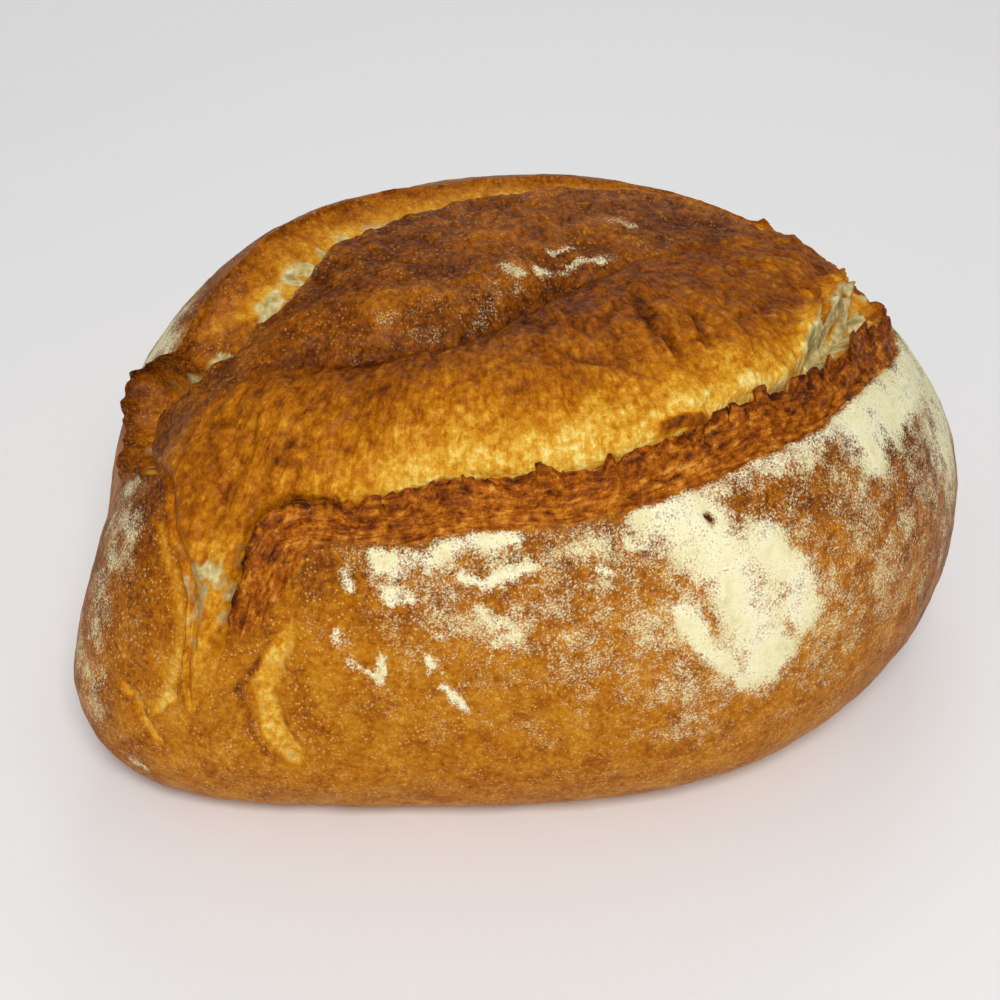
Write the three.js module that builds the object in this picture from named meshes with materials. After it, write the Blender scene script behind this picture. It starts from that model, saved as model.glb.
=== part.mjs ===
// A country sourdough loaf, baked as one piece. A long round of dough rose in the oven until it
// tore open along its slashes: the floured skin now ends in a lip, and the crumb swells out
// inside the lip as the bloom. Millimetres, +Z up. The origin is on the surface that the loaf
// rests on, under the middle of its box. +X is its blunt right end, -Y its floured front.
import * as THREE from 'three';

// Driving dimensions of the round of dough, before it tears open
const HALF_LENGTH = 140;
const HALF_WIDTH = 97.5;
const HEIGHT = 135;
const WIDEST_AT = 0.286;      // height of the widest line, as a share of HEIGHT
const WIDEST_TILT = 0.173;    // how much higher that line is at the right end
const BASE_SIZE = 0.74;       // the flat base against the widest line
const RIDGE = 0.295;          // length of the ridge on top, against the whole length
const EGG = 0.1;              // how much broader the right end is than the left
const SQUARENESS = 2.1;       // 2 is an ellipse from above, more is squarer
const TOP_DROP = 0.056;       // how much lower the top gets towards the right end
const TOP_ROUND = 0.07;       // and how much lower towards both ends

// Slow lumps in the outline seen from above: [waves round the loaf, cosine, sine]
const LUMPS = [
  [2, -0.042, -0.0165],
  [3, 0.0085, -0.0234],
  [4, 0.0076, 0.0319],
  [5, 0, -0.0191],
];

// Roundness of the top, 2 being an ellipse: its mean, and its change round the loaf
const DOME = 2.1;
const DOME_CHANGE = { cosine: 0.066, sine: 0.034, cosineTwice: -0.165 };

// A place on the skin is given by its longitude round the loaf, in degrees from +X towards the
// back, and by how far down it is: 0 on the ridge, SHOULDER on the widest line, 1 at the edge of
// the base, FLOOR in the middle of the base.
const SHOULDER = 0.72;
const FLOOR = 1.5;

// The lip of the torn skin, round the loaf: [longitude, down, how far it stands up, depth of the
// gap behind it, width of that gap]
const LIP = [
  [-160, 0.39, 1, 3, 5],
  [-154, 0.44, 1, 2, 4],
  [-148, 0.5, 1, 2, 4],
  [-145, 0.62, 0.5, 1.5, 3],
  [-141, 0.55, 2, 3, 4],
  [-138, 0.41, 3, 3, 5],
  [-128, 0.4, 3, 3, 5],
  [-113, 0.376, 3, 3, 5],
  [-99, 0.38, 3, 3, 5],
  [-80, 0.337, 3, 3, 5],
  [-62, 0.33, 3, 4, 6],
  [-40, 0.33, 4, 7, 8],
  [-18, 0.37, 4, 6, 9],
  [-4, 0.355, 2, 4, 9],
  [8, 0.3, 2, 3, 9],
  [32, 0.25, 1, 4, 11],
  [50, 0.225, 1, 5, 13],
  [68, 0.205, 1, 7, 14],
  [94, 0.19, 2, 8, 16],
  [118, 0.21, 3, 9, 18],
  [136, 0.245, 5, 10, 18],
  [146, 0.31, 6, 9, 16],
  [152, 0.385, 6, 9, 14],
  [158, 0.44, 6, 8, 12],
  [170, 0.465, 5, 6, 10],
  [184, 0.42, 2, 4, 7],
];

// Long swellings and valleys inside the lip. Each follows a path of [longitude, down], fades out
// at its ends, and is so high (or deep) and so wide to each side.
const BLOOM = {
  path: [[-140, 0.3], [-120, 0.28], [-100, 0.24], [-80, 0.21], [-60, 0.2], [-40, 0.2]],
  height: 3,
  reach: 26,
};
const CREASE = {
  path: [[-160, 0.235], [-147, 0.2], [-130, 0.177], [-114, 0.147], [-91, 0.07], [-60, 0.065]],
  height: -6,
  reach: 9,
};

// The mesh: columns of points round the loaf, and rows from the ridge to the middle of the base
const COLUMNS = 96;
const ROWS_INSIDE = 7;        // from the ridge to the far side of the gap
const ROWS_SKIN = 12;         // from the lip to the edge of the base
const ROWS_BASE = 3;          // from that edge to the middle of the base

const SKIN_LIFT_REACH = 22;   // how far down the skin the lip's lift is felt

const radians = THREE.MathUtils.degToRad;
const mix = THREE.MathUtils.lerp;

// The smooth round of dough: the point at a longitude and a share of the way down.
function dough(longitude, down) {
  const angle = radians(longitude);
  const cosine = Math.cos(angle);
  const sine = Math.sin(angle);
  let outline = (Math.abs(cosine) ** SQUARENESS + Math.abs(sine) ** SQUARENESS) ** (-1 / SQUARENESS);
  let lump = 1;
  for (const [waves, c, s] of LUMPS) {
    lump += c * Math.cos(waves * angle) + s * Math.sin(waves * angle);
  }
  outline *= lump;

  const dome = DOME * (1 + DOME_CHANGE.cosine * cosine + DOME_CHANGE.sine * sine
    + DOME_CHANGE.cosineTwice * Math.cos(2 * angle));
  const widest = HEIGHT * WIDEST_AT * (1 + WIDEST_TILT * cosine);
  let spread;
  let rise = 0;
  let low = 1;
  if (down < SHOULDER) {
    const turn = (1 - down / SHOULDER) * Math.PI / 2;
    spread = Math.max(Math.cos(turn), 0) ** (2 / dome);
    rise = Math.sin(turn) ** (2 / dome);
  } else if (down < 1) {
    const turn = (down - SHOULDER) / (1 - SHOULDER) * Math.PI / 2;
    spread = BASE_SIZE + (1 - BASE_SIZE) * Math.cos(turn);
    low = 1 - Math.sin(turn);
  } else {
    spread = BASE_SIZE * (FLOOR - down) / (FLOOR - 1);
    low = 0;
  }

  const x = HALF_LENGTH * outline * cosine * mix(RIDGE, 1, spread);
  const y = HALF_WIDTH * (1 + EGG * cosine) * outline * sine * spread;
  const along = x / HALF_LENGTH;
  const top = HEIGHT * (1 - TOP_DROP * along - TOP_ROUND * along ** 2);
  return new THREE.Vector3(x, y, low * widest + (top - widest) * rise);
}

// The direction straight out of the skin at a place.
function outward(longitude, down) {
  const step = 0.004;
  const lower = dough(longitude, Math.min(down + step, 1));
  const upper = dough(longitude, Math.max(down - step, 0));
  const back = dough(longitude + 0.5, Math.max(down, step));
  const front = dough(longitude - 0.5, Math.max(down, step));
  return back.sub(front).cross(upper.sub(lower)).normalize();
}

// The lip's four measures at a longitude, eased from one station to the next.
function lipAt(longitude) {
  const start = LIP[0][0];
  const turned = start + THREE.MathUtils.euclideanModulo(longitude - start, 360);
  const closed = [...LIP, [start + 360, ...LIP[0].slice(1)]];
  const next = closed.findIndex((station) => station[0] > turned);
  const [a, b] = [closed[next - 1], closed[next]];
  const share = (turned - a[0]) / (b[0] - a[0]);
  const [down, stand, gapDepth, gapWidth] = a.slice(1).map((value, i) => mix(value, b[i + 1], share));
  return { down, stand, gapDepth, gapWidth };
}

// Height added at a point by one swelling or valley.
function swellingAt(point, { path, height, reach }) {
  let nearest = Infinity;
  let place = 0;
  const curve = path.map(([longitude, down]) => dough(longitude, down));
  for (let i = 0; i + 1 < curve.length; i += 1) {
    const line = new THREE.Line3(curve[i], curve[i + 1]);
    const share = line.closestPointToPointParameter(point, true);
    const distance = line.at(share, new THREE.Vector3()).distanceTo(point);
    if (distance < nearest) {
      nearest = distance;
      place = (i + share) / (curve.length - 1);
    }
  }
  const fade = Math.sin(Math.PI * THREE.MathUtils.clamp(place, 0.04, 0.96)) ** 0.5;
  return height * fade * Math.exp(-((nearest / reach) ** 2));
}

// The places in one column of the mesh, from the ridge down, with the height of each above the
// smooth dough.
function column(longitude) {
  const lip = lipAt(longitude);
  const length = dough(longitude, 0).distanceTo(dough(longitude, lip.down));
  const share = Math.min(lip.gapWidth / length, 0.42);
  const gapMiddle = lip.down * (1 - share);
  const gapFar = lip.down * (1 - 2 * share);
  const places = [];
  for (let i = 0; i <= ROWS_INSIDE; i += 1) {
    places.push({ down: gapFar * i / ROWS_INSIDE, height: 0, inside: true });
  }
  places.push({ down: gapMiddle, height: -lip.gapDepth, inside: true });
  const edge = dough(longitude, lip.down);
  for (let i = 0; i <= ROWS_SKIN; i += 1) {
    const down = mix(lip.down, 1, (i / ROWS_SKIN) ** 1.2);
    const away = dough(longitude, down).distanceTo(edge);
    const lift = i < ROWS_SKIN ? lip.stand * Math.exp(-((away / SKIN_LIFT_REACH) ** 2)) : 0;
    places.push({ down, height: lift, inside: false });
  }
  for (let i = 1; i <= ROWS_BASE; i += 1) {
    places.push({ down: mix(1, FLOOR, i / ROWS_BASE), height: 0, inside: false });
  }
  return places;
}

// The point of the loaf's surface at a place.
function surface(longitude, { down, height, inside }) {
  const point = dough(longitude, down);
  if (down >= 1) {
    return point;
  }
  const added = inside ? swellingAt(point, BLOOM) + swellingAt(point, CREASE) : 0;
  return point.addScaledVector(outward(longitude, down), height + added);
}

// The rows are rings round the loaf. The first and the last ring lie folded flat on the middle
// line, so that their two halves share points, and close the surface at the top and underneath.
function loafGeometry() {
  const points = [];
  const rows = [];
  const longitudes = Array.from({ length: COLUMNS }, (_, i) => 360 * i / COLUMNS);
  const columns = longitudes.map((longitude) => column(longitude));
  const last = columns[0].length - 1;
  for (let row = 0; row <= last; row += 1) {
    const indices = [];
    for (let i = 0; i < COLUMNS; i += 1) {
      const mirrored = (COLUMNS - i) % COLUMNS;
      const folded = row === 0 || row === last;
      if (folded && mirrored < i) {
        indices.push(indices[mirrored]);
      } else {
        const point = surface(longitudes[i], columns[i][row]);
        if (folded) {
          point.add(surface(longitudes[mirrored], columns[mirrored][row])).multiplyScalar(0.5);
        }
        indices.push(points.length);
        points.push(point);
      }
    }
    rows.push(indices);
  }

  const faces = [];
  const addFace = (a, b, c) => {
    if (a !== b && b !== c && c !== a) {
      faces.push(a, b, c);
    }
  };
  for (let row = 0; row < last; row += 1) {
    for (let i = 0; i < COLUMNS; i += 1) {
      const j = (i + 1) % COLUMNS;
      addFace(rows[row][i], rows[row + 1][i], rows[row + 1][j]);
      addFace(rows[row][i], rows[row + 1][j], rows[row][j]);
    }
  }

  const geometry = new THREE.BufferGeometry().setFromPoints(points);
  geometry.setIndex(faces);
  geometry.computeBoundingBox();
  const middle = geometry.boundingBox.getCenter(new THREE.Vector3());
  geometry.translate(-middle.x, -middle.y, -geometry.boundingBox.min.z);
  geometry.computeVertexNormals();
  return geometry;
}

const crust = new THREE.MeshStandardMaterial({ color: 0xb86a24, roughness: 0.6, metalness: 0 });
const loaf = new THREE.Mesh(loafGeometry(), crust);
loaf.name = 'loaf';

const bread = new THREE.Group();
bread.add(loaf);

export default bread;
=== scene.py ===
# %% [markdown]
# # A country sourdough loaf
# A sourdough loaf is one piece: dough that was shaped, dusted with flour, slashed with a blade
# and baked on a hot stone. In the oven it grows faster than its skin can stretch, so it bursts
# along the slashes. What you see is a floured skin with torn, curled lips, and fresh dough that
# has swollen out between them, the bloom. One way to model this is to sculpt it by hand; another
# is a displaced ball. Here the surface is worked out with numpy, row by row, so that the rows of
# the mesh run exactly along the torn lip. That is what keeps a thin ragged edge sharp.

import itertools
import math

import bpy
import numpy as np
from mathutils import Matrix, Vector


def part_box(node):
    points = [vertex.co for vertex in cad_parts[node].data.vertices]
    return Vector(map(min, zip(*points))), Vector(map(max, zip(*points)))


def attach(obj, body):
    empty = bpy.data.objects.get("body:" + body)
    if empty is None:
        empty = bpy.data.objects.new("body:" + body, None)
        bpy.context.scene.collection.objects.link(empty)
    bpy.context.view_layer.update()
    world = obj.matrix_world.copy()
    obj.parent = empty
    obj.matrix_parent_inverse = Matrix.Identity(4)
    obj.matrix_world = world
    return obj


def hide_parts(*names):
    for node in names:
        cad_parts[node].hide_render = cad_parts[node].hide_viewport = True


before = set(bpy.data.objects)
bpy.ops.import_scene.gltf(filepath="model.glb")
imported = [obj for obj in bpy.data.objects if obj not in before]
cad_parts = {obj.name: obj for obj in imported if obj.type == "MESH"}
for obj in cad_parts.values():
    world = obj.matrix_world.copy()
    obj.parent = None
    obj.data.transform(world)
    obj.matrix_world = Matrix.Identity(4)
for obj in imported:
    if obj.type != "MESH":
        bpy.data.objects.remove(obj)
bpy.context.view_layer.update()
loaf_low, loaf_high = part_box("loaf")
loaf_size = loaf_high - loaf_low
print("the loaf fills", [round(1000 * side) for side in loaf_size], "mm")

# %% [markdown]
# ## The round of dough
# Before it tears, the dough is an egg-shaped dome on a flat base. A place on it is a longitude,
# in degrees from the right end (+X) round the back, and a share of the way down: 0 on the ridge
# along the top, `SHOULDER` on the widest line, 1 at the edge of the base. A sculpted sphere would
# give such a dome too, but a formula gives each place its point and its outward direction at
# once. All the work below is in millimetres, as on a ruler; the mesh is scaled to metres last.

# %% Driving dimensions, from the frame
MM = 0.001
length, width, height = (side / MM for side in loaf_size)
HALF_LENGTH = 0.509 * length    # the slow lumps below take a little off the outline again
HALF_WIDTH = 0.4725 * width
HEIGHT = 0.9896 * height        # the bloom stands a little higher than the dough did
WIDEST_AT = 0.286               # height of the widest line, as a share of HEIGHT
WIDEST_TILT = 0.173             # how much higher that line is at the right end
BASE_SIZE = 0.74                # the flat base against the widest line
RIDGE = 0.295                   # length of the ridge on top, against the whole length
EGG = 0.1                       # how much broader the right end is than the left
SQUARENESS = 2.1                # 2 is an ellipse from above, more is squarer
TOP_DROP = 0.056                # how much lower the top gets towards the right end
TOP_ROUND = 0.07                # and how much lower towards both ends
SHOULDER = 0.72
print("the dough is", round(2 * HALF_LENGTH), "by", round(2 * HALF_WIDTH), "by", round(HEIGHT), "mm")

# %% Slow lumps, and how round the top is
LUMPS = [(2, -0.042, -0.0165), (3, 0.0085, -0.0234), (4, 0.0076, 0.0319), (5, 0, -0.0191)]
DOME = 2.1                             # roundness of the top, 2 being an ellipse
DOME_CHANGE = (0.066, 0.034, -0.165)   # its change round the loaf
print("the outline has", len(LUMPS), "slow waves: how many round the loaf, cosine, sine")

# %% The smooth dough


def dough(longitude, down):
    """Points of the smooth dough, in mm, at longitudes in degrees and shares of the way down."""
    longitude, down = np.broadcast_arrays(np.radians(longitude), down)
    cosine, sine = np.cos(longitude), np.sin(longitude)
    outline = (np.abs(cosine) ** SQUARENESS + np.abs(sine) ** SQUARENESS) ** (-1 / SQUARENESS)
    outline = outline * (1 + sum(c * np.cos(n * longitude) + s * np.sin(n * longitude)
                                 for n, c, s in LUMPS))
    dome = DOME * (1 + DOME_CHANGE[0] * cosine + DOME_CHANGE[1] * sine
                   + DOME_CHANGE[2] * np.cos(2 * longitude))
    widest = HEIGHT * WIDEST_AT * (1 + WIDEST_TILT * cosine)
    over = np.clip(1 - down / SHOULDER, 0, 1) * math.pi / 2
    under = np.clip((down - SHOULDER) / (1 - SHOULDER), 0, 1) * math.pi / 2
    below = down >= SHOULDER
    spread = np.where(below, BASE_SIZE + (1 - BASE_SIZE) * np.cos(under),
                      np.cos(over) ** (2 / dome))
    spread = np.where(down > 1, BASE_SIZE * (2 - down), spread)
    x = HALF_LENGTH * outline * cosine * (RIDGE * (1 - spread) + spread)
    y = HALF_WIDTH * (1 + EGG * cosine) * outline * sine * spread
    top = HEIGHT * (1 - TOP_DROP * x / HALF_LENGTH - TOP_ROUND * (x / HALF_LENGTH) ** 2)
    rise = np.where(below, 0, np.sin(over) ** (2 / dome))
    low = np.where(below, 1 - np.sin(under), 1)
    return np.stack([x, y, low * widest + (top - widest) * rise], axis=-1)


print("the smooth dough is", round(float(dough(0, 0.01)[2])), "mm high at its right end's ridge")

# %% The direction straight out of the dough


def unit(vectors):
    """Vectors made 1 long."""
    return vectors / np.maximum(np.linalg.norm(vectors, axis=-1, keepdims=True), 1e-9)


def outward(longitude, down):
    """The direction straight out of the smooth dough."""
    down = np.clip(down, 0.006, 0.999)
    across = dough(longitude + 0.4, down) - dough(longitude - 0.4, down)
    upward = dough(longitude, down - 0.004) - dough(longitude, np.minimum(down + 0.004, 1))
    return unit(np.cross(across, upward))


print("on top the dough faces", [round(float(share), 2) for share in outward(90, 0.01)])

# %% [markdown]
# ## Noise
# Torn dough is never smooth. Blender's own noise texture can displace a mesh, but here the same
# noise has to shape the mesh, its lip and its colour masks together, so it is worked out in
# numpy. Everything is seeded, so the loaf comes out the same each time.

# %% Noise helpers


def noise(points, size, seed):
    """Smooth noise, mostly from -1 to 1, with lumps about `size` mm across."""
    table = np.random.default_rng(seed).permutation(256)
    directions = unit(np.random.default_rng(seed + 1).normal(size=(256, 3)))
    cell = np.asarray(points) / size
    corner = np.floor(cell).astype(int)
    inside = cell - corner
    blend = inside ** 3 * (inside * (inside * 6 - 15) + 10)
    total = np.zeros(cell.shape[:-1])
    for step in itertools.product((0, 1), repeat=3):
        key = np.zeros(total.shape, int)
        for axis in range(3):
            key = table[(key + corner[..., axis] + step[axis]) & 255]
        weight = np.prod(np.where(step, blend, 1 - blend), axis=-1)
        total += weight * ((inside - step) * directions[key]).sum(axis=-1)
    return 1.7 * total


def layered(points, size, seed, layers=3):
    """Noise with finer noise on it, each layer half as big and half as strong."""
    return sum(noise(points, size / 2 ** k, seed + 7 * k) / 2 ** k for k in range(layers))


flank = noise(dough(np.arange(0.0, 360.0, 5.0), 0.5), 9, 31)
print("noise along the flank:", round(float(flank.min()), 2), "to", round(float(flank.max()), 2))

# %% Helpers that ease, measure and tell


def ease(values, low=0.0, high=1.0):
    """0 below low, 1 above high, and a smooth step between."""
    share = np.clip((values - low) / (high - low), 0, 1)
    return share * share * (3 - 2 * share)


AT_ONCE = 20000    # points measured at a time, so that memory isn't used up


def nearest(points, line):
    """Distance from each point to a line's nearest point, and which point of the line that is."""
    flat = points.reshape(-1, 3)
    distance, index = np.empty(len(flat)), np.empty(len(flat), int)
    for start in range(0, len(flat), AT_ONCE):
        part = slice(start, start + AT_ONCE)
        squares = (flat[part] ** 2).sum(1)[:, None] - 2 * flat[part] @ line.T + (line ** 2).sum(1)
        index[part] = squares.argmin(1)
        distance[part] = np.sqrt(np.maximum(squares.min(1), 0))
    return distance.reshape(points.shape[:-1]), index.reshape(points.shape[:-1])


def tell(what, values, measured_in="mm"):
    """Prints the range of some values."""
    print(f"{what}: {float(np.min(values)):.1f} to {float(np.max(values)):.1f} {measured_in}")


tell("an eased step", ease(np.linspace(0, 1, 5)), "of 1")

# %% [markdown]
# ## The lip
# The lip is where the skin tore. It runs all the way round the loaf: along the front as a brown
# ragged ear, round the right end, back along the top of the rear flap, over a second flap at the
# left end, and down and up again round a tongue of bloom that burst out at the lower left. It
# could be drawn as a curve and shrink-wrapped onto the dough. But a table of measures, taken like
# a tailor's at stations round the loaf, also says how wide, deep and ragged the tear is at each
# of them, and is blended between them.

# %% The lip's stations
# longitude, down, stands up (mm), inner face's run (mm), gap's depth (mm), gap's width (mm),
# how far it curls over the gap (mm), width of the torn band below it (mm), how high the bloom
# puffs up behind the gap (mm), how much white crumb shows in the gap (0 to 1)
LIP = np.array([
    (-162, 0.385, 0.8, 1.2, 1.0, 5, 0.4, 1.5, 1.5, 0.0),
    (-156, 0.425, 0.8, 1.2, 1.2, 5, 0.5, 1.5, 1.5, 0.2),
    (-151, 0.462, 0.6, 1.2, 1.6, 6, 0.4, 1.5, 0.5, 0.2),
    (-148, 0.500, 0.6, 1.2, 1.8, 7, 0.4, 1.5, 0.0, 0.4),
    (-146.6, 0.550, 0.6, 1.2, 1.2, 4, 0.3, 1.5, 0.5, 0.3),
    (-146.0, 0.610, 0.4, 1.2, 1.0, 4, 0.2, 1.5, 0.5, 0.0),
    (-144.6, 0.665, 0.2, 1.2, 0.8, 4, 0.0, 1.5, 0.5, 0.0),
    (-142.2, 0.620, 0.2, 1.2, 0.6, 4, 0.0, 1.5, 0.3, 0.0),
    (-140.3, 0.560, 0.6, 1.0, 1.0, 5, 0.4, 1.5, 0.0, 0.0),
    (-139.5, 0.510, 2.6, 1.0, 3.0, 6, 1.8, 7, 0.0, 0.5),
    (-139.0, 0.455, 3.6, 1.0, 3.5, 6, 2.8, 11, 0.0, 0.2),
    (-138.3, 0.410, 3.4, 1.0, 2.5, 6, 2.6, 12, 1.0, 0.0),
    (-134, 0.392, 2.8, 1.2, 1.5, 5, 2.6, 9, 3.0, 0.0),
    (-128, 0.400, 2.4, 1.2, 1.0, 4, 3.0, 8, 4.0, 0.0),
    (-120, 0.394, 2.4, 1.2, 1.0, 4, 3.0, 10, 4.5, 0.0),
    (-113, 0.376, 2.8, 1.2, 1.0, 4, 3.0, 11, 4.5, 0.0),
    (-99, 0.380, 2.4, 1.2, 1.0, 4, 3.0, 10, 4.5, 0.0),
    (-86, 0.352, 2.4, 1.2, 1.0, 4, 3.0, 11, 4.5, 0.1),
    (-73, 0.322, 2.6, 1.4, 1.5, 5, 3.0, 12, 4.5, 0.1),
    (-62, 0.330, 2.6, 2.0, 3.0, 7, 2.5, 10, 4.0, 0.5),
    (-53, 0.325, 2.6, 4.0, 5.0, 13, 2.0, 9, 3.0, 1.0),
    (-40, 0.330, 2.6, 6.0, 6.0, 17, 1.5, 9, 2.0, 1.0),
    (-24, 0.365, 3.4, 8.0, 5.0, 19, 1.0, 8, 1.0, 1.0),
    (-14, 0.375, 3.0, 8.0, 4.0, 17, 1.0, 6, 1.0, 0.6),
    (-4, 0.355, 1.5, 4.0, 3.0, 12, 1.0, 4, 1.0, 0.2),
    (6, 0.315, 1.5, 3.0, 1.0, 8, 1.5, 3, 1.0, 0.0),
    (11, 0.290, 1.2, 5.0, 1.5, 9, 1.5, 3, 0.5, 0.0),
    (15.5, 0.281, 1.2, 5.0, 1.6, 9, 1.5, 3, 0.3, 0.0),
    (17.5, 0.277, 3.2, 5.0, 1.7, 10, 1.5, 3, 0.2, 0.0),
    (19.5, 0.273, 0.8, 6.0, 1.8, 10, 1.3, 3, 0.1, 0.0),
    (32, 0.250, 0.0, 9.0, 2.5, 13, 1.0, 3, 0.0, 0.0),
    (50, 0.225, -0.5, 11., 4.0, 16, 1.0, 3, 0.0, 0.0),
    (68, 0.205, -0.3, 12., 6.0, 17, 1.0, 3, 0.0, 0.0),
    (94, 0.190, 1.0, 14., 7.0, 20, 1.0, 3, 0.0, 0.2),
    (118, 0.210, 2.5, 17., 9.0, 24, 1.0, 3, 0.0, 0.6),
    (130, 0.232, 4.0, 18., 10., 25, 1.0, 3, 0.0, 1.0),
    (138, 0.250, 4.5, 18., 10., 25, 0.5, 3, 0.0, 1.0),
    (146, 0.300, 5.5, 15., 11., 22, 0.5, 3, 0.0, 1.0),
    (149.5, 0.335, 6.5, 10., 10., 18, 1.5, 3, 0.0, 0.8),
    (151, 0.430, 7.0, 7.0, 8.0, 14, 0.5, 3, 0.0, 0.0),
    (158, 0.475, 5.5, 7.0, 6.0, 14, 0.5, 3, 0.0, 0.2),
    (170, 0.470, 4.5, 7.0, 5.0, 13, 0.5, 3, 0.0, 0.7),
    (181, 0.425, 2.5, 4.0, 3.0, 8, 0.5, 2, 0.0, 0.4),
    (190, 0.395, 0.8, 1.5, 1.5, 6, 0.5, 1.5, 1.0, 0.0),
])
tell("the lip stands up at its stations", LIP[:, 2])

# %% Helpers that read the lip
COLUMNS = 1000
BLUR = 2.5      # columns over which the stations' corners are rounded


def around(longitudes, measure):
    """A measure of the lip, blended between its stations."""
    return np.interp(longitudes, LIP[:, 0], LIP[:, measure], period=360)


def blurred(values, reach):
    """A closed row of values, each blended with its neighbours."""
    steps = np.arange(-int(4 * reach), int(4 * reach) + 1)
    weights = np.exp(-0.5 * (steps / reach) ** 2)
    return sum(w * np.roll(values, k, axis=0) for k, w in zip(steps, weights)) / weights.sum()


tell("the torn band is wide", around(np.arange(0, 360), 7))

# %% Columns of the mesh, closer together where the lip runs steeply
fine = np.linspace(-180, 180, 7201)    # every 0.05 degrees
lip_steps = np.linalg.norm(np.diff(dough(fine, around(fine, 1)), axis=0), axis=1)
skin_steps = np.linalg.norm(np.diff(dough(fine, SHOULDER), axis=0), axis=1)
walked = np.concatenate([[0], np.cumsum(np.hypot(lip_steps, 0.5 * skin_steps))])
longitudes = np.interp(np.arange(COLUMNS) / COLUMNS * walked[-1], walked, fine)
tell("the columns stand apart", np.diff(longitudes), "degrees")

# %% The line of the tear: smooth at first, then wandering by a mm or so
plain_down = blurred(around(longitudes, 1), BLUR)
plain_lip = dough(longitudes, plain_down)
lip_walk = np.cumsum(np.linalg.norm(plain_lip - np.roll(plain_lip, 1, axis=0), axis=1))
at_back = ease(longitudes, 12, 30) * (1 - ease(longitudes, 145, 155))    # its rags are softer
lip_down = plain_down + 0.006 * noise(plain_lip, 16, 3)
lip_down = lip_down + 0.005 * layered(plain_lip, 6, 5) * (1 - 0.6 * at_back)
lip_line = dough(longitudes, lip_down)
stand, run, gap_deep, gap_wide, curl, band, puff, crumbs = (
    blurred(around(longitudes, measure), BLUR) for measure in range(2, 10))
print("the lip is", round(float(lip_walk[-1])), "mm long")

# %% Rows of the mesh: inside the lip, down the skin, and across the base
ROWS_INSIDE, ROWS_SKIN, ROWS_BASE = 88, 96, 8
SLIT = 0.002    # the first row stops just short of the ridge; the slit is closed below
inner = 1 - (1 - np.linspace(0, 1, ROWS_INSIDE, endpoint=False)) ** 1.5
outer = np.linspace(0, 1, ROWS_SKIN) ** 1.5
BASE_END = 1.985    # and the last one just short of the base's middle line, at 2
base_rows = np.linspace(1, BASE_END, ROWS_BASE + 1)[1:]
down = np.concatenate([
    SLIT + (lip_down[:, None] - SLIT) * inner,
    lip_down[:, None] + (1 - lip_down[:, None]) * outer,
    np.broadcast_to(base_rows, (COLUMNS, ROWS_BASE)),
], axis=1)
ROWS = down.shape[1]
longitude = np.broadcast_to(longitudes[:, None], down.shape)
smooth = dough(longitude, down)
normal = outward(longitude, down)
is_inside = np.arange(ROWS) < ROWS_INSIDE
on_base = down >= 1
print("the mesh has", COLUMNS, "columns and", ROWS, "rows")

# %% Distance to the lip, and the direction over it towards the bloom
to_lip, at_lip = nearest(smooth, lip_line)
lip_tangent = unit(np.roll(lip_line, -1, axis=0) - np.roll(lip_line, 1, axis=0))
lip_normal = outward(longitudes, lip_down)
lip_inward = unit(np.cross(lip_normal, lip_tangent))
inward_check = (dough(longitudes, lip_down - 0.02) - lip_line) * lip_inward
lip_inward *= np.sign(inward_check.sum(axis=1).mean())
inward = lip_inward[at_lip]
tell("from the vertices to the lip", to_lip)

# %% [markdown]
# ## Strokes
# Creases, swellings, cracks and heaps of flour are all strokes: a path on the dough, a reach to
# each side, and how it fades. They could be painted by hand as vertex weights. One function that
# gives how strongly a stroke is felt at every point lets you move one by changing a number.

# %% Stroke helper


def path_on_dough(path, spacing=1.0):
    """Points about every mm along a path of (longitude, down) places, and each one's share."""
    places = np.array(path, float)
    steps = np.linalg.norm(np.diff(dough(places[:, 0], places[:, 1]), axis=0), axis=1)
    walk = np.concatenate([[0], np.cumsum(steps)])
    share = np.linspace(0, 1, max(int(walk[-1] / spacing), 2) + 1)
    at = [np.interp(share * walk[-1], walk, places[:, k]) for k in range(2)]
    return dough(*at), share


def stroke(path, reach, fade=0.15, sharp=2.0, surface=smooth):
    """How strongly a stroke is felt at each vertex: 1 on its path, a third at its reach."""
    line, share = path_on_dough(path)
    distance, index = nearest(surface, line)
    ends = np.minimum(share, 1 - share)[index]
    taper = ease(ends, 0, fade) if fade else 1.0
    return np.exp(-(distance / reach) ** sharp) * taper


front_line = path_on_dough([(-90, 0), (-90, 1)])[0]
print("from the ridge to the base is", len(front_line) - 1, "mm along the front")

# %% [markdown]
# ## The bloom, the crease and the old skin
# Between the front lip and the rear flap the fresh dough swelled up. A crease runs through it,
# with a strip of old, darker skin behind. The bloom is pulled into soft folds that fan out from
# the crease to the lip, and it is puckered all over, as torn dough is. A sculpting brush could
# draw the pleats; here they are strokes, and noise does the rest, because no pucker matters.

# %% Where the crease and the divide run
CREASE = [(-160, 0.235), (-147, 0.2), (-130, 0.177), (-114, 0.147), (-102, 0.1), (-91, 0.07),
          (-80, 0.05), (-60, 0.065)]
DIVIDE = [(-176, 0.4), *CREASE, (-30, 0.08), (-5, 0.15), (5, 0.2)]
divide_line = path_on_dough(DIVIDE)[0]
to_divide, at_divide = nearest(smooth, divide_line)
divide_tangent = unit(np.gradient(divide_line, axis=0))[at_divide]
left_of = np.cross(divide_tangent, smooth - divide_line[at_divide])[..., 2]
over_divide = to_divide * np.sign(left_of)    # mm past the divide, towards the back
old_skin = ease(over_divide, -1.5, 2.5)
print("the divide is", len(divide_line) - 1, "mm long")

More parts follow.
